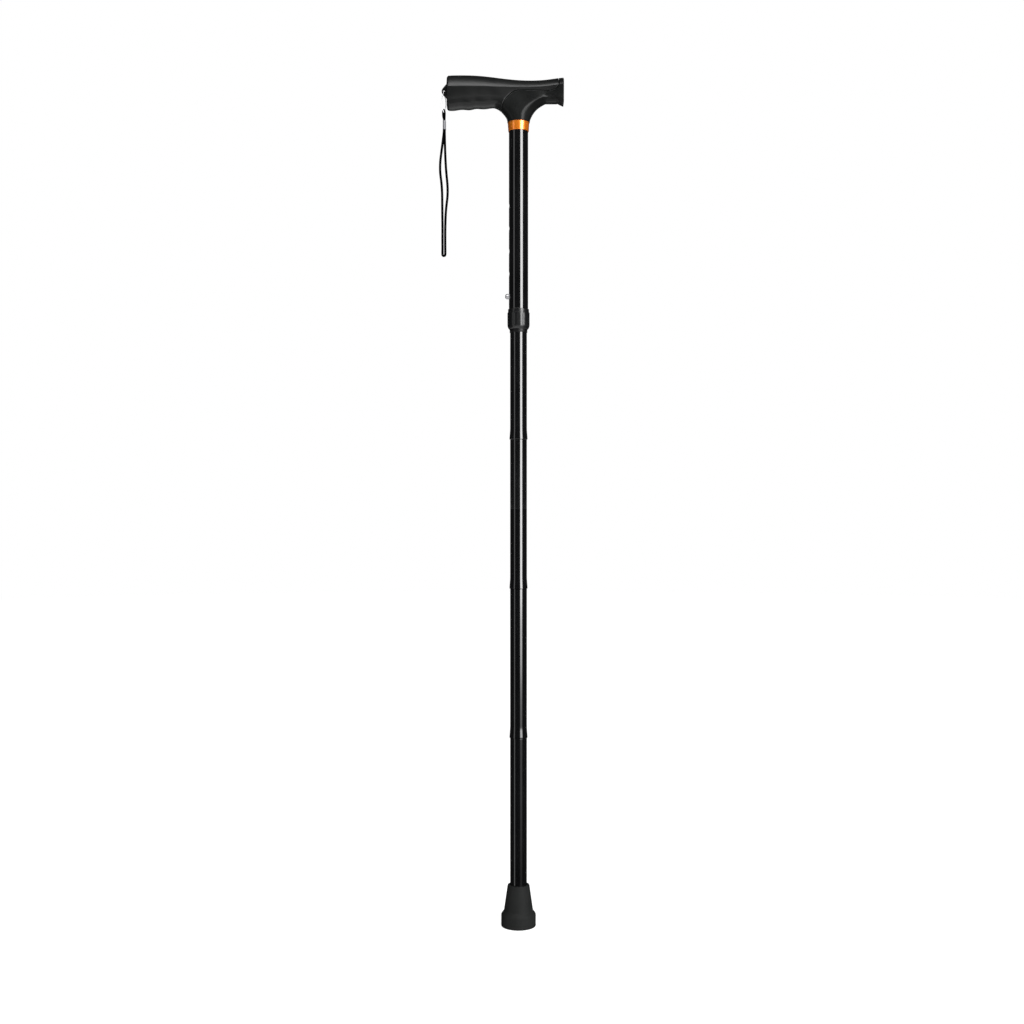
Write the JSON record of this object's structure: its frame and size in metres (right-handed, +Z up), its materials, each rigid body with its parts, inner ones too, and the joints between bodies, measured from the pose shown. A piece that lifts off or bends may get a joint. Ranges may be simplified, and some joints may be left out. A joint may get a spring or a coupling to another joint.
{
  "type": "walking cane",
  "caption": "Folding, height-adjustable walking cane: T-shaped handle with soft cover, screw lock, snap button, sectioned tube shaft on an elastic cord, rubber tip and wrist strap.",
  "frame": {"origin": "centre of the rubber tip's sole, on the shaft's axis", "axes": "+Z up the shaft, +X towards the handle's nose, so the strap lug points to -X; +Y away from the viewer of the side view"},
  "size_m": [0.1398, 0.0388, 0.9516],
  "materials": {
    "black_tube": "gloss black coated aluminium",
    "core": "black moulded nylon, satin to semi-gloss",
    "cover": "charcoal soft-touch rubber, matte",
    "crimp_metal": "dull pressed metal",
    "gold": "gold-orange anodised, turned",
    "inner_plastic": "grey-black moulded plastic",
    "lock_plastic": "black moulded plastic, semi-gloss",
    "shock_cord": "woven cover on an elastic core",
    "spigot_metal": "plain drawn aluminium",
    "steel": "bright zinc-plated spring steel",
    "strap_fabric": "braided black nylon",
    "thread_fabric": "pale smooth thread",
    "tip_rubber": "matte dark grey rubber with fine grain"
  },
  "bodies": {
    "handle_and_upper_tube": {"handle_core": "core", "grip_cover": "cover", "handle_screw": "steel", "tube_top_plug": "inner_plastic", "collar_ring": "gold", "upper_tube": "black_tube", "lock_body": "lock_plastic"},
    "lock_collet": {"lock_collet": "lock_plastic"},
    "lock_ring": {"lock_ring": "lock_plastic"},
    "section_1": {"section_1_tube": "black_tube", "top_glide_plug": "inner_plastic", "cord_top_plug": "inner_plastic", "cord_top_washer": "steel", "elastic_cord": "shock_cord"},
    "snap_button": {"snap_button_clip": "steel"},
    "section_2": {"section_2_tube": "black_tube", "section_2_spigot": "spigot_metal"},
    "section_3": {"section_3_tube": "black_tube", "section_3_spigot": "spigot_metal"},
    "section_4": {"section_4_tube": "black_tube", "section_4_spigot": "spigot_metal", "cord_bottom_plug": "inner_plastic", "tip_washer": "steel", "rubber_tip": "tip_rubber"},
    "strap": {"strap_thread": "thread_fabric", "strap_eye": "strap_fabric", "strap_crimp": "crimp_metal", "strap_cord": "strap_fabric"}
  },
  "joints": [
    {"name": "height_adjust", "type": "slide", "parent": "handle_and_upper_tube", "child": "section_1", "axis": [0, 0, 1], "range_m": [0, 0.1016], "deforming": ["snap_button_clip"]},
    {"name": "button_press", "type": "slide", "parent": "section_1", "child": "snap_button", "axis": [1, 0, 0], "range_m": [0, 0.0055], "stiffness_N_per_m": 900, "springref_m": -0.003, "deforming": ["snap_button_clip"]},
    {"name": "section_2_pull", "type": "slide", "parent": "section_1", "child": "section_2", "axis": [0, 0, -1], "range_m": [0, 0.045], "stiffness_N_per_m": 200, "springref_m": -0.1, "deforming": ["elastic_cord"]},
    {"name": "section_3_pull", "type": "slide", "parent": "section_2", "child": "section_3", "axis": [0, 0, -1], "range_m": [0, 0.045], "stiffness_N_per_m": 200, "springref_m": -0.1, "deforming": ["elastic_cord"]},
    {"name": "section_4_pull", "type": "slide", "parent": "section_3", "child": "section_4", "axis": [0, 0, -1], "range_m": [0, 0.045], "stiffness_N_per_m": 200, "springref_m": -0.1, "deforming": ["elastic_cord"]},
    {"name": "collet_travel", "type": "slide", "parent": "handle_and_upper_tube", "child": "lock_collet", "axis": [0, 0, -1], "range_m": [0, 0.0015]},
    {"name": "lock_ring_turn", "type": "hinge", "parent": "lock_collet", "child": "lock_ring", "pos_m": [0, 0, 0.677], "axis": [0, 0, -1], "range_deg": [0, 271]},
    {"name": "strap_swing", "type": "hinge", "parent": "handle_and_upper_tube", "child": "strap", "pos_m": [-0.0836, 0, 0.9343], "axis": [0, 1, 0], "range_deg": [0, 90]}
  ],
  "couplings": [
    {"joint": "lock_ring_turn", "follows": "collet_travel", "rad_per_m": 3141.6}
  ]
}
